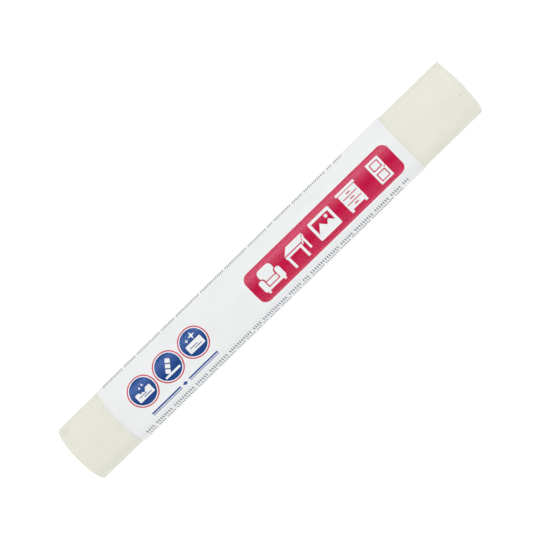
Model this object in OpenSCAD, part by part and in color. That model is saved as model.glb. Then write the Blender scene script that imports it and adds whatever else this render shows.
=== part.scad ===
// Furniture repair wax stick: a round rod of filler wax with a paper label glued round its middle.
// The rod lies along X with its nose towards +X, and its lowest line is at z = 0.

/* [Wax rod] */
// Diameter of the rod
wax_d = 12.7; // [8:0.1:20]
// Length of the rod from the tail face to the top of the nose
wax_l = 100.4; // [92:0.1:160]
// Height of the crown on the nose, the end that is rubbed into a scratch
nose_crown = 0.5; // [0.3:0.05:1.6]
// Width of the soft shoulder round the flat tail face
tail_shoulder_w = 1.85; // [1:0.05:2.6]
// How far the tail's shoulder falls away at the rim
tail_shoulder_h = 0.1; // [0.05:0.05:0.5]
// Radius that rounds both rims
rim_r = 0.3; // [0.2:0.05:0.8]

/* [Label] */
// Length of the label along the rod
label_l = 74; // [40:0.1:78]
// Bare wax between the tail face and the label
tail_bare_l = 10.75; // [3:0.05:16]
// Thickness of the label's paper
paper_t = 0.12; // [0.06:0.01:0.25]
// Thickness of the adhesive under the paper
glue_t = 0.08; // [0.03:0.01:0.12]

/* [Lap of the label] */
// How far the label laps over its own first edge
lap_w = 4; // [2:0.1:7]
// Width of the slope on which the paper climbs over its first edge
ramp_w = 1; // [0.6:0.1:1.6]
// Direction in which the middle of the lap faces, up or down from level at the back
lap_angle = -45; // [-60:1:-30]

/* [Hidden] */
$fn = 128;
wax_colour = [0.91, 0.905, 0.86];
glue_colour = [0.86, 0.84, 0.76];
paper_colour = [0.95, 0.955, 0.955];

// The radii of the wax, of the paper's inside and of its outside
wax_r = wax_d / 2;
paper_r = wax_r + glue_t;
label_r = paper_r + paper_t;
layer_t = label_r - wax_r;

// The label touches the surface that the stick lies on, so its radius is the height of the axis
axis_z = label_r;
tail_x = -wax_l / 2;

// The lap and the slope before it, as angles round the rod
lap_sweep = angle_of(lap_w, label_r);
ramp_sweep = angle_of(ramp_w, paper_r);
first_edge = lap_angle - lap_sweep / 2;
last_edge = first_edge + lap_sweep;
ramp_start = first_edge - ramp_sweep;

// The cut under the lap runs on past the lap's edge, and the first coat of paper in it runs on further,
// so that no two cuts end on the same line
cut_end = last_edge + ramp_sweep;
coat_end = cut_end + ramp_sweep;

// A radius well outside the label, the share by which the slope's line is drawn on past each end,
// and the number of steps in each arc of the rod's outline
far_r = 2 * wax_d;
draw_on_share = 0.5;
arc_steps = 12;

// The angle that a length takes up along a circle
function angle_of(length, radius) = 180 / PI * length / radius;

// A point at a radius and an angle
function polar(radius, angle) = radius * [cos(angle), sin(angle)];

// The points of an arc
function arc(centre, radius, from, to) =
    [for (i = [0 : arc_steps]) centre + polar(radius, from + (to - from) * i / arc_steps)];

// The radius of an arc that falls away by drop over a width
function arc_radius(width, drop) = (width * width + drop * drop) / (2 * drop);

// Half the outline of one end, from its middle to the rod's side, with the end's top at height zero.
// It is flat as far out as land, then curves down by drop and rounds over the rim.
function end_outline(land, drop) =
    let (
        curve_r = arc_radius(wax_r - land, drop),
        across = wax_r - rim_r - land,
        up = sqrt(pow(curve_r - rim_r, 2) - across * across),
        turn = atan2(up, across)
    )
    concat(
        arc([land, -curve_r], curve_r, 90, turn),
        arc([wax_r - rim_r, up - curve_r], rim_r, turn, 0)
    );

// Lays a shape that was drawn standing on the tail face down along X
module lay_down() translate([tail_x, 0, axis_z]) rotate([90, 0, 90]) children();

// Carries a flat shape across the rod along the length of the label
module along_label() translate([0, 0, tail_bare_l]) linear_extrude(height = label_l) children();

// A slice of pie from one angle to another, reaching well past the label
module slice(from, to) polygon([[0, 0], polar(far_r, from), polar(far_r, (from + to) / 2), polar(far_r, to)]);

// Everything inside a turn that starts at a radius and climbs by one layer onto the first edge.
// The climb is a straight line, drawn on past both its ends and cut off by the two circles.
module inside_turn(radius, lap_end) {
    low = polar(radius, ramp_start);
    high = polar(radius + layer_t, first_edge);
    rise = (high - low) * draw_on_share;
    circle(r = radius);
    intersection() {
        circle(r = radius + layer_t);
        polygon([
            [0, 0],
            low - rise,
            high + rise,
            polar(far_r, first_edge),
            polar(far_r, (first_edge + lap_end) / 2),
            polar(far_r, lap_end)
        ]);
    }
}

// The start of the first turn of paper, which lies under the lap and runs on a little past it
module first_coat()
    difference() {
        intersection() {
            circle(r = label_r);
            slice(first_edge, coat_end);
        }
        circle(r = paper_r);
    }

// The wax: a solid rod with a crowned nose, a flat tail face and rounded rims
module wax_stick() {
    nose = [for (p = end_outline(0, nose_crown)) [p.x, wax_l + p.y]];
    tail = [for (p = end_outline(wax_r - tail_shoulder_w, tail_shoulder_h)) [p.x, -p.y]];
    tail_to_axis = [for (i = [len(tail) - 1 : -1 : 0]) tail[i]];
    color(wax_colour)
    lay_down()
    rotate_extrude()
    polygon(concat(nose, tail_to_axis, [[0, 0]]));
}

// The adhesive: a coat all round the wax, a fillet under the slope and a coat under the lap
module label_adhesive() {
    color(glue_colour)
    lay_down()
    along_label()
    difference() {
        inside_turn(paper_r, last_edge);
        circle(r = wax_r);
        first_coat();
    }
}

// The paper: one turn on the wax, a slope up over its own first edge, and the lap on the first turn
module label_paper() {
    color(paper_colour)
    lay_down()
    along_label()
    difference() {
        inside_turn(label_r, last_edge);
        difference() {
            inside_turn(paper_r, cut_end);
            first_coat();
        }
    }
}

wax_stick();
label_adhesive();
label_paper();
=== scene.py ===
# The looks of the furniture repair wax stick: a rod of filler wax with a printed paper label,
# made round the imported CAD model. Lengths are in millimetres until a mesh is made.
import math
import random

import bpy
import numpy as np
from mathutils import Matrix, Vector, noise
from mathutils.geometry import delaunay_2d_cdt


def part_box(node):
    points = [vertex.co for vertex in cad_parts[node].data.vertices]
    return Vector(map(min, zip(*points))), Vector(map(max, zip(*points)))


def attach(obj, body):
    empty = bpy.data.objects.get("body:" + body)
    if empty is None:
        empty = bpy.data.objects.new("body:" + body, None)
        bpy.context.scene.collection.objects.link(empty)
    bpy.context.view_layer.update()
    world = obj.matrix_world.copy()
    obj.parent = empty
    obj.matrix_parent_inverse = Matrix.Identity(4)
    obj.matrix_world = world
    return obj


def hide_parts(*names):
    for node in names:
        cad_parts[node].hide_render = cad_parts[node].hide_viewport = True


MM = 0.001

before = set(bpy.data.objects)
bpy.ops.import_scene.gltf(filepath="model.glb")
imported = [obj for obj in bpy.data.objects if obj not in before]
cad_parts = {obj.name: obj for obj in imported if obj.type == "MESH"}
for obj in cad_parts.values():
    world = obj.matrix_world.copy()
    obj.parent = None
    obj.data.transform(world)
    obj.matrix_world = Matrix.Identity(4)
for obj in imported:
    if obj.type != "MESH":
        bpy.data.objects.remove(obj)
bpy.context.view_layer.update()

# Sizes taken from the CAD model
wax_low, wax_high = (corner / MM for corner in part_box("wax_stick"))
label_low, label_high = (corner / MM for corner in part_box("label_paper"))
TAIL_X = wax_low.x
NOSE_X = wax_high.x
WAX_R = (wax_high.y - wax_low.y) / 2
AXIS_Z = (wax_low.z + wax_high.z) / 2
LABEL_TAIL_X = label_low.x
LABEL_NOSE_X = label_high.x
LABEL_R = (label_high.y - label_low.y) / 2

# The label's paper, its lap over its own first edge and the slope before the lap, as in the CAD model.
# Angles round the stick are in degrees, from +Y towards +Z.
PAPER_T = 0.12
LAYER_T = LABEL_R - WAX_R
LAP_W = 4.0
RAMP_W = 1.0
LAP_ANGLE = -45.0
LAP_SWEEP = math.degrees(LAP_W / LABEL_R)
RAMP_SWEEP = math.degrees(RAMP_W / (LABEL_R - PAPER_T))
FIRST_EDGE = LAP_ANGLE - LAP_SWEEP / 2
CLIMB_END = FIRST_EDGE + 360
CLIMB_START = CLIMB_END - RAMP_SWEEP
LAST_EDGE = CLIMB_END + LAP_SWEEP

# How far the real surfaces wander in from the perfect cylinders, the length of these waves, and where in the
# noise they are taken from
PAPER_WAVE = 0.012
PAPER_WAVE_LENGTH = 7.0
PAPER_WAVE_SEED = 3.1
WAX_WAVE = 0.02
WAX_WAVE_LENGTH = 5.0
WAX_WAVE_SEED = 8.7

# The label's tail edge is pressed into the wax on the +Y side: how deep, and how far along the stick
EDGE_PRESS = 0.1
EDGE_PRESS_REACH = 1.4

# The nose: the height of its crown, the radius of its rim on the +Y side and on the worn -Y side,
# and how steeply the -Y side is worn away from a radius outwards
NOSE_CROWN = 0.5
NOSE_RIM_SHARP = 0.25
NOSE_RIM_WORN = 0.6
NOSE_WEAR = 0.15
NOSE_WEAR_FROM = 5.0

# The tail: how steeply it is cut out of square, the radius of its rim, how far out its flat land reaches
# and how far it falls from there to the rim
TAIL_SLANT = 0.037
TAIL_RIM = 0.12
TAIL_LAND = 5.0
TAIL_DROP = 0.02

# How fine the wax mesh is: the points in a ring, the distance between rings in sight and under the label,
# and the rings of each end on its flat land, on its curve and round its rim
WAX_SIDES = 320
WAX_STEP = 0.14
HIDDEN_STEP = 1.6
TAIL_END_RINGS = (20, 5, 6)
NOSE_END_RINGS = (0, 26, 8)

# The last ring before the label's tail edge is this far from it, and the first one under it twice as far
HAIR = 0.01

# The camera stands above the nose. It is tilted back along the stick and rolled. Angles are in degrees.
CAMERA_X = 47.85
CAMERA_Y = 0.08
CAMERA_HEIGHT = 531.9
CAMERA_TILT = 5.13
CAMERA_ROLL = 44.21
LENS = 189.15
SENSOR_W = 36

# The floor reaches this far each way, in metres. The first colour is for light that it sends to the stick,
# the second and the glow are for the camera and for reflections.
FLOOR_REACH = 3.0
FLOOR_COLOUR = (0.85, 0.85, 0.85, 1)
FLOOR_SEEN_COLOUR = (0.4, 0.4, 0.4, 1)
FLOOR_GLOW = 0.75

# The light of the studio, as (height between the horizon and straight up, strength)
SKY = [(0.1, 1.0), (0.3, 0.33), (0.5, 0.33), (0.7, 0.04)]

# Lamps: (name, level direction, degrees above level, length and width in metres, strength, shows in gloss)
LAMPS = [
    ("key_lamp", (0, 1), 58, 1.0, 0.27, 2.39, True),
    ("top_lamp", (0, 1), 80, 1.0, 0.22, 0.78, True),
    ("fill_lamp", (0, -1), 47, 1.0, 0.4, 0.44, True),
    ("near_side_lamp", (0, -1), 10, 1.0, 0.34, 1.13, True),
    ("nose_lamp", (1, 0), 42, 0.4, 0.4, 1.55, False),
    ("tail_lamp", (-1, 0), 62, 0.4, 0.4, 1.0, False),
]
LAMP_DISTANCE = 0.7

# The watts that a square metre of lamp takes for a strength of one
WATTS_PER_AREA = 4.0


def page_height(turn):
    """How far above the stick's top line an angle lies on the flat label."""
    return LABEL_R * math.radians(90 - turn)


def turn_of(height):
    """The angle round the stick at which a height on the flat label lies."""
    return 90 - math.degrees(height / LABEL_R)


PAGE_TOP = page_height(FIRST_EDGE)
PAGE_BOTTOM = page_height(LAST_EDGE)


def pressed(x, turn):
    """How far the label's tail edge is pressed into the wax, on the +Y side of the stick."""
    side = max(0.0, math.cos(math.radians(turn))) ** 1.5
    away = (x - LABEL_TAIL_X) / EDGE_PRESS_REACH
    return EDGE_PRESS * side * math.exp(-(away**2))


def wave(x, turn, length, seed):
    """A slow wave between nought and one over the surface, the same after each whole turn."""
    a = math.radians(turn)
    across = WAX_R / length
    return 0.5 + 0.5 * noise.noise(Vector((x / length + seed, across * math.cos(a), across * math.sin(a))))


def paper_outside(x, turn):
    """The radius of the paper's printed side."""
    lift = LAYER_T * min(max((turn - CLIMB_START) / RAMP_SWEEP, 0.0), 1.0)
    dip = PAPER_WAVE * wave(x, turn, PAPER_WAVE_LENGTH, PAPER_WAVE_SEED)
    return LABEL_R + lift - dip - pressed(x, turn)


def paper_inside(x, turn):
    """The radius of the paper's glued side."""
    return paper_outside(x, turn) - PAPER_T


def wax_side(x, turn):
    """The radius of the wax along its side, under the label and outside it."""
    under = pressed(x, turn) if x > LABEL_TAIL_X else 0.0
    return WAX_R - WAX_WAVE * wave(x, turn, WAX_WAVE_LENGTH, WAX_WAVE_SEED) - under


def on_stick(x, radius, turn):
    """A point at a distance along the stick, a radius and an angle."""
    a = math.radians(turn)
    return Vector((x, radius * math.cos(a), AXIS_Z + radius * math.sin(a)))


def make_piece(name, points, faces, materials, face_materials=None, smooth_faces=None):
    """A mesh object from points in millimetres."""
    mesh = bpy.data.meshes.new(name)
    mesh.from_pydata([p * MM for p in points], [], faces)
    for material in materials:
        mesh.materials.append(material)
    if face_materials is not None:
        mesh.polygons.foreach_set("material_index", face_materials)
    shaded = smooth_faces if smooth_faces is not None else [True] * len(faces)
    mesh.polygons.foreach_set("use_smooth", shaded)
    mesh.validate()
    mesh.update()
    piece = bpy.data.objects.new(name, mesh)
    bpy.context.scene.collection.objects.link(piece)
    return piece


# Materials

def new_material(name):
    """An empty node material with its shader and the coordinates of the object, in metres."""
    material = bpy.data.materials.new(name)
    material.use_nodes = True
    tree = material.node_tree
    tree.nodes.clear()
    output = tree.nodes.new("ShaderNodeOutputMaterial")
    shader = tree.nodes.new("ShaderNodeBsdfPrincipled")
    tree.links.new(shader.outputs["BSDF"], output.inputs["Surface"])
    place = tree.nodes.new("ShaderNodeTexCoord").outputs["Object"]
    return material, tree, shader, place


def noise_of(tree, place, size, detail=3.0, stretch=1.0):
    """Noise whose patches are about size millimetres wide, and stretch times as long along the stick."""
    mapping = tree.nodes.new("ShaderNodeMapping")
    mapping.inputs["Scale"].default_value = (1 / stretch, 1, 1)
    tree.links.new(place, mapping.inputs["Vector"])
    made = tree.nodes.new("ShaderNodeTexNoise")
    made.inputs["Scale"].default_value = 1 / (size * MM)
    made.inputs["Detail"].default_value = detail
    tree.links.new(mapping.outputs["Vector"], made.inputs["Vector"])
    return made.outputs["Fac"]


def ramp(tree, factor, low, high, start=0.3, stop=0.7):
    """Colours that run from low to high as the factor rises."""
    made = tree.nodes.new("ShaderNodeValToRGB")
    made.color_ramp.elements[0].position = start
    made.color_ramp.elements[0].color = (*low, 1)
    made.color_ramp.elements[1].position = stop
    made.color_ramp.elements[1].color = (*high, 1)
    tree.links.new(factor, made.inputs["Fac"])
    return made.outputs["Color"]


def span(tree, factor, low, high, start=0.3, stop=0.7):
    """A number that runs from low to high as the factor rises."""
    made = tree.nodes.new("ShaderNodeMapRange")
    made.inputs["From Min"].default_value = start
    made.inputs["From Max"].default_value = stop
    made.inputs["To Min"].default_value = low
    made.inputs["To Max"].default_value = high
    tree.links.new(factor, made.inputs["Value"])
    return made.outputs["Result"]


def mix(tree, how, factor, first, second):
    """Two colours joined by a mixing rule. The factor is a number or a socket.
    In this node, input 0 is the factor, inputs 6 and 7 are the colours and output 2 is the mixed colour."""
    made = tree.nodes.new("ShaderNodeMix")
    made.data_type = "RGBA"
    made.blend_type = how
    if isinstance(factor, float):
        made.inputs[0].default_value = factor
    else:
        tree.links.new(factor, made.inputs[0])
    tree.links.new(first, made.inputs[6])
    if isinstance(second, tuple):
        made.inputs[7].default_value = (*second, 1)
    else:
        tree.links.new(second, made.inputs[7])
    return made.outputs[2]


def bump(tree, shader, layers):
    """Bumps the surface with layers of (height socket, depth in millimetres)."""
    normal = None
    for height, depth in layers:
        made = tree.nodes.new("ShaderNodeBump")
        made.inputs["Strength"].default_value = 1.0
        made.inputs["Distance"].default_value = depth * MM
        tree.links.new(height, made.inputs["Height"])
        if normal is not None:
            tree.links.new(normal, made.inputs["Normal"])
        normal = made.outputs["Normal"]
    tree.links.new(normal, shader.inputs["Normal"])


def wax_material():
    """Pale ivory wax: satin, slightly translucent, with soft mottling, draw lines and dark specks."""
    material, tree, shader, place = new_material("filler_wax")
    broad = noise_of(tree, place, 4.0, 4.0, 1.6)
    fine = noise_of(tree, place, 0.9, 3.0)
    lines = noise_of(tree, place, 0.35, 2.0, 14.0)
    grain = noise_of(tree, place, 0.22, 2.0)
    body = ramp(tree, broad, (0.81, 0.805, 0.72), (0.845, 0.836, 0.752))
    mottle = ramp(tree, fine, (0.955, 0.955, 0.945), (1.0, 1.0, 1.0))
    body = mix(tree, "MULTIPLY", 0.6, body, mottle)
    speck = tree.nodes.new("ShaderNodeAttribute")
    speck.attribute_name = "speck"
    body = mix(tree, "MIX", speck.outputs["Fac"], body, (0.36, 0.36, 0.29))
    tree.links.new(body, shader.inputs["Base Color"])
    tree.links.new(span(tree, fine, 0.44, 0.56), shader.inputs["Roughness"])
    shader.inputs["Subsurface Weight"].default_value = 0.06
    shader.inputs["Subsurface Radius"].default_value = (1.0, 0.9, 0.7)
    shader.inputs["Subsurface Scale"].default_value = 1.2 * MM
    shader.inputs["IOR"].default_value = 1.44
    bump(tree, shader, [(lines, 0.004), (fine, 0.008), (grain, 0.004)])
    return material


def paper_material():
    """White coated label paper with a soft gloss and a few faint fibres."""
    material, tree, shader, place = new_material("label_white")
    cloud = noise_of(tree, place, 6.0, 3.0)
    fibre = noise_of(tree, place, 0.12, 3.0, 3.0)
    body = ramp(tree, cloud, (0.867, 0.885, 0.887), (0.887, 0.9, 0.902))
    tooth = ramp(tree, fibre, (0.975, 0.975, 0.975), (1.0, 1.0, 1.0))
    tree.links.new(mix(tree, "MULTIPLY", 0.7, body, tooth), shader.inputs["Base Color"])
    tree.links.new(span(tree, fibre, 0.42, 0.5), shader.inputs["Roughness"])
    shader.inputs["IOR"].default_value = 1.42
    bump(tree, shader, [(cloud, 0.01), (fibre, 0.0006)])
    return material


def ink_material(name, thin, full, ior=1.48, sheen=(1, 1, 1)):
    """Printing ink on the coated paper, a little uneven and glossier than the bare coating.
    The gloss of a full ink has some of its own colour, the sheen."""
    material, tree, shader, place = new_material(name)
    cloud = noise_of(tree, place, 2.6, 3.0)
    dots = noise_of(tree, place, 0.16, 2.0)
    body = ramp(tree, cloud, thin, full)
    tooth = ramp(tree, dots, (0.95, 0.95, 0.95), (1.0, 1.0, 1.0))
    tree.links.new(mix(tree, "MULTIPLY", 0.8, body, tooth), shader.inputs["Base Color"])
    tree.links.new(span(tree, dots, 0.24, 0.3), shader.inputs["Roughness"])
    shader.inputs["IOR"].default_value = ior
    shader.inputs["Specular Tint"].default_value = (*sheen, 1)
    bump(tree, shader, [(cloud, 0.008), (dots, 0.0006)])
    return material


def cut_paper_material():
    """The uncoated back and the cut edges of the label, with bare fibres."""
    material, tree, shader, place = new_material("label_cut_edge")
    fibre = noise_of(tree, place, 0.08, 4.0, 2.0)
    body = ramp(tree, fibre, (0.66, 0.66, 0.63), (0.82, 0.82, 0.8))
    tree.links.new(body, shader.inputs["Base Color"])
    shader.inputs["Roughness"].default_value = 0.85
    bump(tree, shader, [(fibre, 0.01)])
    return material


def adhesive_material():
    """Tacky adhesive, yellowish and a little glossy."""
    material, tree, shader, place = new_material("label_glue")
    cloud = noise_of(tree, place, 0.8, 3.0)
    tree.links.new(ramp(tree, cloud, (0.66, 0.62, 0.49), (0.74, 0.7, 0.58)), shader.inputs["Base Color"])
    tree.links.new(span(tree, cloud, 0.35, 0.5), shader.inputs["Roughness"])
    bump(tree, shader, [(cloud, 0.01)])
    return material


# The wax

def end_rings(land, drop, rim, land_steps, cap_steps, rim_steps):
    """The rings of one end from its middle to the rod's side, as (radius, depth) for each side of the mesh.
    The end is flat as far out as land, curves down by drop and rounds over the rim."""
    width = WAX_R - land
    curve_r = (width * width + drop * drop) / (2 * drop)
    across = WAX_R - rim - land
    up = np.sqrt((curve_r - rim) ** 2 - across * across)
    turn = np.arctan2(up, across)
    rings = [(np.full_like(rim, land * k / land_steps), np.zeros_like(rim)) for k in range(1, land_steps + 1)]
    for k in range(1, cap_steps + 1):
        a = math.pi / 2 + (turn - math.pi / 2) * k / cap_steps
        rings.append((land + curve_r * np.cos(a), curve_r * (1 - np.sin(a))))
    for k in range(1, rim_steps + 1):
        a = turn * (1 - k / rim_steps)
        rings.append((WAX_R - rim + rim * np.cos(a), curve_r - up - rim * np.sin(a)))
    return rings


# Marks on the side of the wax: (distance along the stick, angle, size, depth, darkness)
MARKS = [
    (48.63, 101.5, 0.12, 0.1, 1.0),
    (47.5, 95, 0.15, 0.04, 0.3),
    (48.9, 24, 0.2, 0.04, 0.35),
    (45.4, 102, 0.2, 0.02, 0.08),
    (40.9, 94, 0.15, 0.02, 0.12),
    (44.2, 122, 0.15, 0.02, 0.14),
    (43.6, 117, 0.15, 0.02, 0.14),
    (-48.8, 36, 1.0, 0.02, 0.19),
    (-43.2, 57, 0.14, 0.02, 0.1),
    (-42.8, 84, 0.14, 0.02, 0.12),
]
# Pits in the two ends: (distance towards +Y, height above the axis, size, depth, darkness)
NOSE_PITS = [
    (1.9, 2.4, 0.24, 0.05, 0.3),
    (-2.8, 0.7, 0.2, 0.04, 0.25),
    (0.8, -1.9, 0.3, 0.05, 0.2),
    (3.6, -1.2, 0.2, 0.04, 0.35),
    (-1.2, 4.2, 0.22, 0.04, 0.2),
    (-4.1, -2.7, 0.25, 0.05, 0.3),
]
TAIL_PITS = [
    (2.6, 1.1, 0.24, 0.05, 0.3),
    (-1.5, 2.9, 0.2, 0.04, 0.3),
    (-3.3, -1.0, 0.3, 0.05, 0.25),
    (0.6, -3.4, 0.22, 0.04, 0.3),
    (4.3, 3.1, 0.2, 0.04, 0.2),
]

# Further marks, scattered at random: how many, the share of them that is on the nose, how far they keep
# from the ends of the bare wax, and the ranges of their angles, sizes, depths and darkness
MARK_SEED = 11
MARK_COUNT = 26
MARK_NOSE_SHARE = 0.6
MARK_MARGIN = 1
MARK_TURNS = (165, 375)
MARK_SIZES = (0.15, 0.3)
MARK_DEPTHS = (0.02, 0.06)
MARK_DARKNESS = (0.1, 0.35)

# A mark or pit reaches this many times its size. The pits are within this share of the wax's radius.
MARK_REACH = 3
PIT_SHARE = 0.95


def scattered_marks():
    """Further small marks round the bare wax, on the sides that face away."""
    draw = random.Random(MARK_SEED)
    marks = []
    for _ in range(MARK_COUNT):
        if draw.random() < MARK_NOSE_SHARE:
            x = draw.uniform(LABEL_NOSE_X + MARK_MARGIN, NOSE_X - MARK_MARGIN)
        else:
            x = draw.uniform(TAIL_X + MARK_MARGIN, LABEL_TAIL_X - MARK_MARGIN)
        turn = draw.uniform(*MARK_TURNS)
        size = draw.uniform(*MARK_SIZES)
        depth = draw.uniform(*MARK_DEPTHS)
        marks.append((x, turn, size, depth, draw.uniform(*MARK_DARKNESS)))
    return marks


def mark_strength(along, across, size):
    """How strong a mark is at a distance from its middle: one in the middle, and nought beyond its reach."""
    near = (along**2 + across**2) / size**2
    return math.exp(-near) if near < MARK_REACH**2 else 0.0


def mark_side(x, radius, turn, marks):
    """The radius and the darkness of a point of the wax with the marks in it."""
    dark = 0.0
    for mark_x, mark_turn, size, depth, darkness in marks:
        along = x - mark_x
        if abs(along) > MARK_REACH * size:
            continue
        around = (turn - mark_turn + 180) % 360 - 180
        strength = mark_strength(along, WAX_R * math.radians(around), size)
        radius -= depth * strength
        dark = max(dark, darkness * strength)
    return radius, dark


def mark_end(x, radius, turn, dark):
    """The distance along the stick and the darkness of a point of an end with the pits in it."""
    y = radius * math.cos(math.radians(turn))
    height = radius * math.sin(math.radians(turn))
    pits, inward = (NOSE_PITS, -1) if x > 0 else (TAIL_PITS, 1)
    for pit_y, pit_height, size, depth, darkness in pits:
        strength = mark_strength(y - pit_y, height - pit_height, size)
        x += inward * depth * strength
        dark = max(dark, darkness * strength)
    return x, dark


def wax_rings(turns):
    """The rings of the rod from its tail face to its nose, each as (distances along the stick, radii)."""
    level = np.cos(np.radians(turns))
    worn_side = np.clip(-level, 0, 1)
    rim = NOSE_RIM_SHARP + (NOSE_RIM_WORN - NOSE_RIM_SHARP) * (1 - level) / 2
    tail = end_rings(TAIL_LAND, TAIL_DROP, np.full(WAX_SIDES, TAIL_RIM), *TAIL_END_RINGS)
    nose = end_rings(0.0, NOSE_CROWN, rim, *NOSE_END_RINGS)

    rings = []
    for radius, depth in tail:
        height = radius * np.sin(np.radians(turns))
        rings.append((TAIL_X + depth + TAIL_SLANT * (WAX_R - height), radius))

    tail_side = rings[-1][0]
    before_label = np.full(WAX_SIDES, LABEL_TAIL_X - HAIR)
    under_label = np.full(WAX_SIDES, LABEL_TAIL_X + 2 * HAIR)
    label_end = np.full(WAX_SIDES, LABEL_NOSE_X)
    nose_side = NOSE_X - nose[-1][1] - NOSE_WEAR * worn_side * (WAX_R - NOSE_WEAR_FROM)
    for start, stop, step in (
        (tail_side, before_label, WAX_STEP),
        (before_label, under_label, HIDDEN_STEP),
        (under_label, label_end, HIDDEN_STEP),
        (label_end, nose_side, WAX_STEP),
    ):
        count = max(1, round(float(np.max(stop - start)) / step))
        for k in range(1, count + 1):
            rings.append((start + (stop - start) * k / count, np.full(WAX_SIDES, WAX_R)))
    rings.pop()

    for radius, depth in reversed(nose):
        worn = NOSE_WEAR * worn_side * np.clip(radius - NOSE_WEAR_FROM, 0, None)
        rings.append((NOSE_X - depth - worn, radius))
    return rings


def make_wax():
    """The rod, as rings from the middle of the tail face to the middle of the nose."""
    turns = np.arange(WAX_SIDES) * 360 / WAX_SIDES
    rings = wax_rings(turns)
    marks = MARKS + scattered_marks()
    points = [Vector((TAIL_X + TAIL_SLANT * WAX_R, 0, AXIS_Z))]
    specks = [0.0]
    for xs, radii in rings:
        for x, radius, turn in zip(xs, radii, turns):
            share = radius / WAX_R
            radius = radius - (WAX_R - wax_side(x, turn)) * share
            radius, dark = mark_side(x, radius, turn, marks)
            if share < PIT_SHARE:
                x, dark = mark_end(x, radius, turn, dark)
            points.append(on_stick(x, radius, turn))
            specks.append(dark)
    points.append(Vector((NOSE_X, 0, AXIS_Z)))
    specks.append(0.0)

    faces = []
    for j in range(WAX_SIDES):
        faces.append((0, 1 + j, 1 + (j + 1) % WAX_SIDES))
    for k in range(len(rings) - 1):
        low = 1 + k * WAX_SIDES
        high = low + WAX_SIDES
        for j in range(WAX_SIDES):
            i = (j + 1) % WAX_SIDES
            faces.append((low + j, high + j, high + i, low + i))
    last = 1 + (len(rings) - 1) * WAX_SIDES
    for j in range(WAX_SIDES):
        faces.append((len(points) - 1, last + (j + 1) % WAX_SIDES, last + j))
    piece = make_piece("wax_rod", points, faces, [wax_material()])
    piece.data.attributes.new("speck", "FLOAT", "POINT").data.foreach_set("value", specks)
    return piece


# The print on the label. The flat label is a page: x runs towards the nose, y upwards, towards +Y,
# with y = 0 on the line that lies uppermost. A shape is (ink, outline), and later shapes cover earlier ones.
# CUT isn't an ink: it is the bare paper of the back and the cut edges.
PAPER, RED, BLUE, GREY, CUT = range(5)


def box(x0, y0, x1, y1):
    """A box from one corner to the other."""
    return [(x0, y0), (x1, y0), (x1, y1), (x0, y1)]


def disc(x, y, radius, steps=40):
    """A disc, as an outline with a number of steps."""
    turns = [2 * math.pi * k / steps for k in range(steps)]
    return [(x + radius * math.cos(a), y + radius * math.sin(a)) for a in turns]


def soft_box(x0, y0, x1, y1, radius, steps=8):
    """A box with rounded corners."""
    points = []
    corners = [(x1 - radius, y1 - radius, 0), (x0 + radius, y1 - radius, 90),
               (x0 + radius, y0 + radius, 180), (x1 - radius, y0 + radius, 270)]
    for cx, cy, start in corners:
        for k in range(steps + 1):
            a = math.radians(start + 90 * k / steps)
            points.append((cx + radius * math.cos(a), cy + radius * math.sin(a)))
    return points


def tilted(outline, degrees, x, y):
    """An outline turned about its origin, then moved."""
    a = math.radians(degrees)
    return [(x + px * math.cos(a) - py * math.sin(a), y + px * math.sin(a) + py * math.cos(a))
            for px, py in outline]


def placed(shapes, x, y, scale=1.0):
    """A motif moved to its place on the page."""
    return [(ink, [(x + px * scale, y + py * scale) for px, py in outline]) for ink, outline in shapes]


# Pictograms for the red panel, each about five millimetres high and drawn round its own middle

def armchair():
    """An armchair seen from the front, with two thick arms, a seat and short legs."""
    shapes = [(PAPER, soft_box(-1.75, -1.2, 1.75, 2.4, 0.85))]
    for side in (-1, 1):
        shapes.append((RED, soft_box(side * 1.95 - 0.8, -1.9, side * 1.95 + 0.8, 0.85, 0.7)))
    shapes.append((RED, box(-1.6, -1.3, 1.6, -0.1)))
    for side in (-1, 1):
        shapes.append((PAPER, soft_box(side * 2.05 - 0.6, -2.0, side * 2.05 + 0.6, 0.65, 0.5)))
        shapes.append((PAPER, box(side * 2.0 - 0.25, -2.5, side * 2.0 + 0.25, -1.9)))
    shapes.append((PAPER, soft_box(-1.25, -1.2, 1.25, -0.3, 0.25)))
    shapes.append((PAPER, box(-1.9, -2.0, 1.9, -1.42)))
    return shapes


def table():
    """A table seen at a slant, with its top, two edges and three legs."""
    shapes = [(PAPER, [(-2.7, 0.7), (1.6, 0.7), (2.8, 2.0), (-1.3, 2.0)])]
    shapes.append((PAPER, [(1.6, 0.0), (1.6, 0.48), (2.8, 1.78), (2.8, 1.3)]))
    shapes.append((PAPER, box(-2.7, 0.0, 1.42, 0.48)))
    shapes.append((PAPER, box(-2.55, -2.5, -2.0, 0.1)))
    shapes.append((PAPER, box(0.8, -2.5, 1.35, 0.1)))
    shapes.append((PAPER, box(2.15, -1.5, 2.6, 1.2)))
    return shapes


def picture():
    """A framed picture of hills and a sun."""
    shapes = [(PAPER, soft_box(-2.7, -2.2, 2.7, 2.2, 0.3)), (RED, box(-2.1, -1.6, 2.1, 1.6))]
    shapes.append((PAPER, [(-2.1, -1.6), (2.1, -1.6), (2.1, -0.7), (1.1, 0.35), (0.3, -0.45), (-0.7, 0.75),
                           (-2.1, -0.9)]))
    shapes.append((PAPER, disc(1.15, 0.98, 0.36, 20)))
    return shapes


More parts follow.
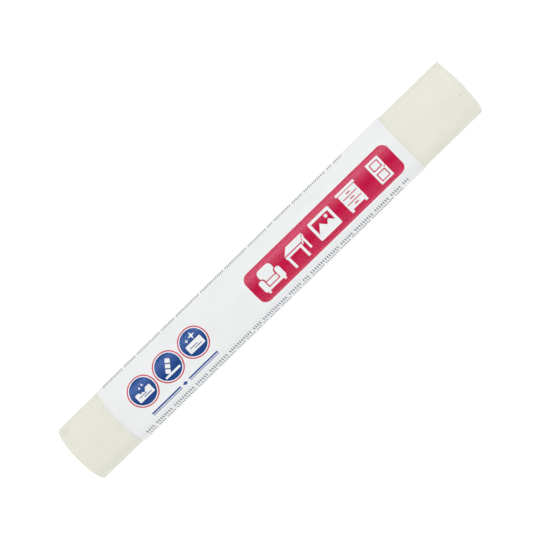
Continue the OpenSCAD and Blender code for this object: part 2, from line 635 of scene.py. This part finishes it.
def chest():
    """A chest with three drawers, a top and two feet."""
    shapes = [(PAPER, box(-2.4, 1.95, 2.4, 2.45)), (PAPER, box(-2.1, -1.95, 2.1, 1.8))]
    for side in (-1, 1):
        shapes.append((PAPER, box(side * 1.75 - 0.3, -2.5, side * 1.75 + 0.3, -1.9)))
    for y in (0.62, -0.66):
        shapes.append((RED, box(-1.75, y - 0.09, 1.75, y + 0.09)))
    for y in (1.22, -0.02, -1.3):
        shapes.append((RED, soft_box(-0.5, y - 0.12, 0.5, y + 0.12, 0.1, 3)))
    return shapes


def door():
    """A door with two panels and a knob."""
    shapes = [(PAPER, box(-1.55, -2.5, 1.55, 2.5))]
    for y0, y1 in ((0.35, 2.05), (-2.05, -0.2)):
        shapes.append((RED, box(-1.05, y0, 1.05, y1)))
        shapes.append((PAPER, box(-0.83, y0 + 0.22, 0.83, y1 - 0.22)))
    shapes.append((RED, disc(1.3, 0.08, 0.15, 12)))
    return shapes


# Motifs for the blue badges

def board():
    """A board seen from its side, with two lines of grain."""
    shapes = [(PAPER, soft_box(-1.85, -1.45, 1.85, 0.3, 0.2, 4))]
    shapes.append((BLUE, box(-1.3, -0.62, 0.5, -0.47)))
    shapes.append((BLUE, box(-0.5, -1.05, 1.3, -0.9)))
    return shapes


def chipped_board():
    """A board with a chip in its upper edge and two splinters above it."""
    chip = [(-0.95, 0.35), (-0.6, -0.2), (-0.2, 0.02), (0.15, -0.35), (0.5, -0.05), (0.8, 0.35)]
    shapes = board() + [(BLUE, chip)]
    shapes.append((PAPER, [(-0.45, 0.75), (0.0, 0.62), (-0.1, 1.15)]))
    shapes.append((PAPER, [(0.4, 0.95), (0.85, 0.8), (0.6, 1.4)]))
    return shapes


def stick_at_work():
    """A slanting stick with a label, which rubs along a board."""
    shapes = [(PAPER, soft_box(-1.85, -1.6, 1.85, -1.15, 0.12, 3))]
    for ink, outline in (
        (PAPER, soft_box(-0.5, 0.0, 0.5, 2.9, 0.25, 4)),
        (BLUE, box(-0.5, 0.85, 0.5, 2.05)),
        (PAPER, box(-0.5, 1.07, 0.5, 1.83)),
    ):
        shapes.append((ink, tilted(outline, -38, -0.85, -0.98)))
    return shapes


def shining_board():
    """A board with two stars above it."""
    shapes = board()
    for x, y, size in ((0.55, 1.25, 0.85), (-0.85, 1.0, 0.45)):
        star = []
        for k in range(8):
            reach = size if k % 2 == 0 else 0.3 * size
            star.append((x + reach * math.sin(math.pi * k / 4), y + reach * math.cos(math.pi * k / 4)))
        shapes.append((PAPER, star))
    return shapes


def badge(motif, x, y):
    """A blue disc in a thin red ring, with a white motif."""
    discs = [(ink, disc(x, y, radius, 72)) for ink, radius in ((RED, 3.15), (PAPER, 2.9), (BLUE, 2.68))]
    return discs + placed(motif, x, y)


# Where the print stands on the page: the red panel and its corners, the first pictogram, the distance to the
# next and their scale, the first badge and the distance to the next, the double rule as (from x, to x, y),
# and the blue bar on the back
PANEL = (-4.61, -4.44, 32.25, 2.72)
PANEL_CORNER = 1.6
PICTOGRAM_AT = (-0.2, -0.85)
PICTOGRAM_PITCH = 7.1
PICTOGRAM_SCALE = 0.98
BADGE_AT = (-32.3, 0.4)
BADGE_PITCH = 6.62
DOUBLE_RULE = (-34.2, -17.1, -4.4)
BACK_BAR = (-36.5, -11.7, -22.0, -10.9)

# The fine rules: the seed for their groups, how much of the distance from stroke to stroke is ink,
# and the fewest and the most strokes in a group
TICK_SEED = 5
TICK_SHARE = 0.43
TICK_GROUP = (3, 14)

# The fine rules on the front, as (from x, to x, y, height, distance from stroke to stroke)
FRONT_RULES = [
    (-37.8, 25.0, 8.1, 1.05, 0.43),
    (-37.6, 31.0, -6.93, 1.0, 0.52),
    (-37.6, 29.0, -8.58, 1.26, 0.43),
]

# The fine rules on the back, in two columns as (from x, to x, to x in the last row)
BACK_COLUMNS = [(-36.5, -3.5, -14.0), (1.0, 31.0, 19.0)]
BACK_ROWS = 5
BACK_TOP_Y = -13.6
BACK_ROW_PITCH = 1.9
BACK_RULE_H = 0.8
BACK_RULE_PITCH = 0.5

# Faint specks in the white of the label, as (x, y, radius)
SPECKS = [(-31.7, 4.75, 0.05), (-33.5, 5.0, 0.04), (-32.6, 4.1, 0.05), (-34.7, 4.0, 0.05), (33.7, -0.6, 0.03)]


def hatched_rule(draw, x0, x1, y, height, pitch):
    """A broken rule of fine upright strokes, in groups of several lengths."""
    shapes = []
    stroke = TICK_SHARE * pitch
    x = x0
    left = draw.randint(*TICK_GROUP)
    while x + stroke < x1:
        if left == 0:
            x += pitch
            left = draw.randint(*TICK_GROUP)
        shapes.append((GREY, box(x, y - height / 2, x + stroke, y + height / 2)))
        x += pitch
        left -= 1
    return shapes


def double_rule(x0, x1, y):
    """A blue double rule with a small diamond in its middle."""
    middle = (x0 + x1) / 2
    shapes = [(BLUE, [(middle - 0.6, y), (middle, y - 0.5), (middle + 0.6, y), (middle, y + 0.5)])]
    for a, b in ((x0, middle - 1.1), (middle + 1.1, x1)):
        shapes.append((BLUE, box(a, y - 0.04, b, y + 0.38)))
        shapes.append((BLUE, box(a, y - 0.45, b, y - 0.25)))
    return shapes


def page_shapes():
    """Everything that is printed on the label."""
    draw = random.Random(TICK_SEED)
    shapes = [(RED, soft_box(*PANEL, PANEL_CORNER, 10))]
    x, y = PICTOGRAM_AT
    for k, motif in enumerate((armchair, table, picture, chest, door)):
        shapes += placed(motif(), x + PICTOGRAM_PITCH * k, y, PICTOGRAM_SCALE)
    x, y = BADGE_AT
    for k, motif in enumerate((chipped_board, stick_at_work, shining_board)):
        shapes += badge(motif(), x + BADGE_PITCH * k, y)
    shapes += double_rule(*DOUBLE_RULE)
    for rule in FRONT_RULES:
        shapes += hatched_rule(draw, *rule)
    shapes.append((BLUE, soft_box(*BACK_BAR, 0.3, 4)))
    for row in range(BACK_ROWS):
        y = BACK_TOP_Y - BACK_ROW_PITCH * row
        for x0, x1, last_x1 in BACK_COLUMNS:
            end = last_x1 if row == BACK_ROWS - 1 else x1
            shapes += hatched_rule(draw, x0, end, y, BACK_RULE_H, BACK_RULE_PITCH)
    shapes += [(GREY, disc(x, y, radius, 8)) for x, y, radius in SPECKS]
    return shapes


def anticlockwise(outline):
    """The outline in the direction in which the cutting takes its inside as filled."""
    after = outline[1:] + outline[:1]
    area = sum(x0 * y1 - x1 * y0 for (x0, y0), (x1, y1) in zip(outline, after))
    return outline if area > 0 else outline[::-1]


# The grid of the page's mesh: the height of a row, the columns beside the pressed tail edge, how far from the
# two edges the even columns start and end, how many they are, and the column beside the nose edge
PAGE_ROW = 0.26
TAIL_COLUMNS = (0.12, 0.35, 0.7, 1.15, 1.7, 2.4)
EVEN_COLUMNS_FROM = 3.4
EVEN_COLUMNS_TO = 0.9
EVEN_COLUMNS = 40
NOSE_COLUMN = 0.3

# The cutting joins points that are nearer than this. Border points are looked for a little further off.
JOIN_WITHIN = 1e-5
ON_BORDER = 1e-4


def cut_page(shapes):
    """Cuts the page along its grid and the outlines of the shapes.
    Gives the points, the triangles and the ink of each triangle."""
    rows = math.ceil((PAGE_TOP - PAGE_BOTTOM) / PAGE_ROW)
    even_from = LABEL_TAIL_X + EVEN_COLUMNS_FROM
    even_to = LABEL_NOSE_X - EVEN_COLUMNS_TO
    columns = [LABEL_TAIL_X + step for step in TAIL_COLUMNS]
    columns += list(np.linspace(even_from, even_to, EVEN_COLUMNS))
    columns.append(LABEL_NOSE_X - NOSE_COLUMN)
    points = [Vector(p) for p in box(LABEL_TAIL_X, PAGE_BOTTOM, LABEL_NOSE_X, PAGE_TOP)]
    faces = [[0, 1, 2, 3]]
    edges = []

    def line(x0, y0, x1, y1):
        points.extend([Vector((x0, y0)), Vector((x1, y1))])
        edges.append((len(points) - 2, len(points) - 1))

    for k in range(1, rows):
        y = PAGE_BOTTOM + (PAGE_TOP - PAGE_BOTTOM) * k / rows
        line(LABEL_TAIL_X, y, LABEL_NOSE_X, y)
    for x in columns:
        line(x, PAGE_BOTTOM, x, PAGE_TOP)
    for _, outline in shapes:
        faces.append(list(range(len(points), len(points) + len(outline))))
        points.extend(Vector(p) for p in anticlockwise(outline))
    inside_only = 1
    cut = delaunay_2d_cdt(points, edges, faces, inside_only, JOIN_WITHIN, True)
    cut_points, _, cut_faces, _, _, cut_sources = cut
    inks = [PAPER] + [ink for ink, _ in shapes]
    triangles = []
    triangle_inks = []
    for corners, sources in zip(cut_faces, cut_sources):
        a, b, c = (cut_points[i] for i in corners)
        if (b - a).cross(c - a) < 0:
            corners = corners[::-1]
        triangles.append(tuple(corners))
        triangle_inks.append(inks[max(sources)] if sources else PAPER)
    return cut_points, triangles, triangle_inks


def border_of(points):
    """The page's border points in order, anticlockwise from the corner by the tail."""
    def at(value, wanted):
        return abs(value - wanted) < ON_BORDER

    ids = range(len(points))
    bottom = sorted((i for i in ids if at(points[i].y, PAGE_BOTTOM)), key=lambda i: points[i].x)
    right = sorted((i for i in ids if at(points[i].x, LABEL_NOSE_X)), key=lambda i: points[i].y)
    top = sorted((i for i in ids if at(points[i].y, PAGE_TOP)), key=lambda i: -points[i].x)
    left = sorted((i for i in ids if at(points[i].x, LABEL_TAIL_X)), key=lambda i: -points[i].y)
    return bottom[:-1] + right[:-1] + top[:-1] + left[:-1]


def wrapped(point, surface):
    """Where a point of the page lies on one side of the wrapped paper."""
    turn = turn_of(point.y)
    return on_stick(point.x, surface(point.x, turn), turn)


def outward(point):
    """The direction that the printed side faces at a point of the page."""
    reach = 0.04
    along = Vector((reach, 0))
    up = Vector((0, reach))
    dx = wrapped(point + along, paper_outside) - wrapped(point - along, paper_outside)
    dy = wrapped(point + up, paper_outside) - wrapped(point - up, paper_outside)
    return dx.cross(dy).normalized()


def make_label():
    """The paper, wrapped once round the stick and over its own first edge, with its print and cut edges."""
    front, front_faces, front_inks = cut_page(page_shapes())
    back, back_faces, _ = cut_page([])
    front_border = border_of(front)
    back_border = border_of(back)
    if len(front_border) != len(back_border):
        raise ValueError("the two sides of the label have different borders")
    points = [wrapped(p, paper_outside) for p in front] + [wrapped(p, paper_inside) for p in back]
    facing = [outward(p) for p in front] + [-outward(p) for p in back]
    first_back = len(front)
    faces = list(front_faces)
    inks = list(front_inks)
    for corners in back_faces:
        faces.append(tuple(first_back + i for i in corners[::-1]))
        inks.append(CUT)
    edge_count = len(front_border)
    flat_from = len(faces)
    for k in range(edge_count):
        n = (k + 1) % edge_count
        inner = (first_back + back_border[k], first_back + back_border[n])
        faces.append(inner + (front_border[n], front_border[k]))
        inks.append(CUT)
    materials = [
        paper_material(),
        ink_material("red_ink", (0.56, 0.002, 0.05), (0.6, 0.003, 0.06), 1.6, (1, 0.7, 0.87)),
        ink_material("blue_ink", (0.009, 0.05, 0.235), (0.014, 0.06, 0.265), 1.65, (0.4, 0.6, 1)),
        ink_material("grey_ink", (0.1, 0.11, 0.16), (0.14, 0.15, 0.2)),
        cut_paper_material(),
    ]
    shaded = [True] * flat_from + [False] * edge_count
    piece = make_piece("printed_label", points, faces, materials, inks, shaded)
    normals = []
    for k, corners in enumerate(faces):
        if k < flat_from:
            normals.extend(facing[i] for i in corners)
        else:
            normals.extend([piece.data.polygons[k].normal] * len(corners))
    piece.data.normals_split_custom_set(normals)
    return piece


# The adhesive ends this far short of the label's ends, in millimetres, and of its other edges, in degrees.
# It bites a little into the wax and the paper. Its mesh has rows on the wax, in the climb and under the lap,
# and the rows in the climb start a degree into it.
GLUE_SHORT = 0.06
GLUE_SHORT_TURN = 0.3
GLUE_BITE = 0.005
GLUE_COLUMNS = 80
GLUE_ROWS = 140
GLUE_CLIMB_ROWS = 9
GLUE_CLIMB_FROM = 1
GLUE_LAP_ROWS = 14


def make_adhesive():
    """The coat of adhesive between the wax and the paper, and between the paper's first turn and its lap."""
    xs = np.linspace(LABEL_TAIL_X + GLUE_SHORT, LABEL_NOSE_X - GLUE_SHORT, GLUE_COLUMNS)
    coat = list(np.linspace(FIRST_EDGE + GLUE_SHORT_TURN, CLIMB_START, GLUE_ROWS))
    coat += list(np.linspace(CLIMB_START + GLUE_CLIMB_FROM, CLIMB_END, GLUE_CLIMB_ROWS))
    lap = np.linspace(CLIMB_END, LAST_EDGE - GLUE_SHORT_TURN, GLUE_LAP_ROWS)
    rows = [(turn, False) for turn in coat] + [(turn, True) for turn in lap]
    points = []
    for turn, on_paper in rows:
        for x in xs:
            inside = paper_outside(x, turn - 360) if on_paper else wax_side(x, turn)
            points.append(on_stick(x, inside - GLUE_BITE, turn))
            points.append(on_stick(x, paper_inside(x, turn) + GLUE_BITE, turn))
    count = len(xs)

    def at(row, column, outer):
        return 2 * (row * count + column) + outer

    faces = []
    for r in range(len(rows) - 1):
        for c in range(count - 1):
            faces.append((at(r, c, 1), at(r + 1, c, 1), at(r + 1, c + 1, 1), at(r, c + 1, 1)))
            faces.append((at(r, c, 0), at(r, c + 1, 0), at(r + 1, c + 1, 0), at(r + 1, c, 0)))
        faces.append((at(r, 0, 0), at(r + 1, 0, 0), at(r + 1, 0, 1), at(r, 0, 1)))
        e = count - 1
        faces.append((at(r, e, 0), at(r, e, 1), at(r + 1, e, 1), at(r + 1, e, 0)))
    last = len(rows) - 1
    for c in range(count - 1):
        faces.append((at(0, c, 0), at(0, c, 1), at(0, c + 1, 1), at(0, c + 1, 0)))
        faces.append((at(last, c, 0), at(last, c + 1, 0), at(last, c + 1, 1), at(last, c, 1)))
    return make_piece("adhesive_coat", points, faces, [adhesive_material()])


# Camera, floor, lamps and world

def add_camera():
    """A long lens above the nose, looking down and back along the stick, which runs up to the right."""
    tilt = math.radians(CAMERA_TILT)
    roll = math.radians(CAMERA_ROLL)
    along = Vector((math.cos(tilt), 0, -math.sin(tilt)))
    across = Vector((0, 1, 0))
    back = Vector((math.sin(tilt), 0, math.cos(tilt)))
    right = along * math.cos(roll) - across * math.sin(roll)
    up = along * math.sin(roll) + across * math.cos(roll)
    data = bpy.data.cameras.new("camera")
    data.lens = LENS
    data.sensor_width = SENSOR_W
    camera = bpy.data.objects.new("camera", data)
    bpy.context.scene.collection.objects.link(camera)
    turned = Matrix((right, up, back)).transposed().to_4x4()
    turned.translation = Vector((CAMERA_X, CAMERA_Y, AXIS_Z + CAMERA_HEIGHT)) * MM
    camera.matrix_world = turned
    bpy.context.scene.camera = camera


def add_floor():
    """A white floor that shows as white to the camera and in reflections, and keeps the stick's shadow."""
    mesh = bpy.data.meshes.new("floor")
    corners = [(x, y, 0) for x, y in box(-FLOOR_REACH, -FLOOR_REACH, FLOOR_REACH, FLOOR_REACH)]
    mesh.from_pydata(corners, [], [(0, 1, 2, 3)])
    floor = bpy.data.objects.new("floor", mesh)
    bpy.context.scene.collection.objects.link(floor)
    material = bpy.data.materials.new("floor_white")
    material.use_nodes = True
    tree = material.node_tree
    tree.nodes.clear()
    output = tree.nodes.new("ShaderNodeOutputMaterial")
    plain = tree.nodes.new("ShaderNodeBsdfDiffuse")
    plain.inputs["Color"].default_value = FLOOR_COLOUR
    shown = tree.nodes.new("ShaderNodeBsdfDiffuse")
    shown.inputs["Color"].default_value = FLOOR_SEEN_COLOUR
    glow = tree.nodes.new("ShaderNodeEmission")
    glow.inputs["Color"].default_value = (1, 1, 1, 1)
    glow.inputs["Strength"].default_value = FLOOR_GLOW
    both = tree.nodes.new("ShaderNodeAddShader")
    tree.links.new(shown.outputs[0], both.inputs[0])
    tree.links.new(glow.outputs[0], both.inputs[1])
    path = tree.nodes.new("ShaderNodeLightPath")
    seen = path.outputs["Is Camera Ray"]
    for other in ("Is Glossy Ray", "Is Transmission Ray"):
        either = tree.nodes.new("ShaderNodeMath")
        either.operation = "MAXIMUM"
        tree.links.new(seen, either.inputs[0])
        tree.links.new(path.outputs[other], either.inputs[1])
        seen = either.outputs[0]
    choice = tree.nodes.new("ShaderNodeMixShader")
    tree.links.new(seen, choice.inputs[0])
    tree.links.new(plain.outputs[0], choice.inputs[1])
    tree.links.new(both.outputs[0], choice.inputs[2])
    tree.links.new(choice.outputs[0], output.inputs["Surface"])
    mesh.materials.append(material)


def add_world():
    """A studio that is white near the horizon and dark overhead."""
    world = bpy.data.worlds.new("studio")
    world.use_nodes = True
    tree = world.node_tree
    tree.nodes.clear()
    place = tree.nodes.new("ShaderNodeTexCoord")
    parts = tree.nodes.new("ShaderNodeSeparateXYZ")
    tree.links.new(place.outputs["Generated"], parts.inputs[0])
    shade = tree.nodes.new("ShaderNodeValToRGB")
    steps = shade.color_ramp.elements
    already_there = len(steps)
    for k, (height, strength) in enumerate(SKY):
        step = steps[k] if k < already_there else steps.new(height)
        step.position = height
        step.color = (strength, strength, strength, 1)
    tree.links.new(parts.outputs["Z"], shade.inputs["Fac"])
    light = tree.nodes.new("ShaderNodeBackground")
    tree.links.new(shade.outputs["Color"], light.inputs["Color"])
    output = tree.nodes.new("ShaderNodeOutputWorld")
    tree.links.new(light.outputs[0], output.inputs["Surface"])
    bpy.context.scene.world = world


def add_lamp(name, side, rise, length, width, strength, in_gloss):
    """A soft lamp that shines on the stick."""
    data = bpy.data.lights.new(name, "AREA")
    data.shape = "RECTANGLE"
    data.size = length
    data.size_y = width
    data.energy = strength * WATTS_PER_AREA * length * width
    lamp = bpy.data.objects.new(name, data)
    bpy.context.scene.collection.objects.link(lamp)
    a = math.radians(rise)
    back = Vector((side[0] * math.cos(a), side[1] * math.cos(a), math.sin(a)))
    level = Vector((-side[1], side[0], 0))
    turned = Matrix((level, back.cross(level), back)).transposed().to_4x4()
    turned.translation = Vector((0, 0, AXIS_Z * MM)) + back * LAMP_DISTANCE
    lamp.matrix_world = turned
    lamp.visible_camera = False
    lamp.visible_glossy = in_gloss


add_camera()
add_floor()
add_world()
for settings in LAMPS:
    add_lamp(*settings)

wax = make_wax()
label = make_label()
adhesive = make_adhesive()
for piece, node, slot in (
    (wax, "wax_stick", "wax"),
    (adhesive, "label_adhesive", "adhesive"),
    (label, "label_paper", "label_paper"),
):
    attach(piece, "root")
    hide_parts(node)

bpy.context.scene.view_settings.view_transform = "Standard"
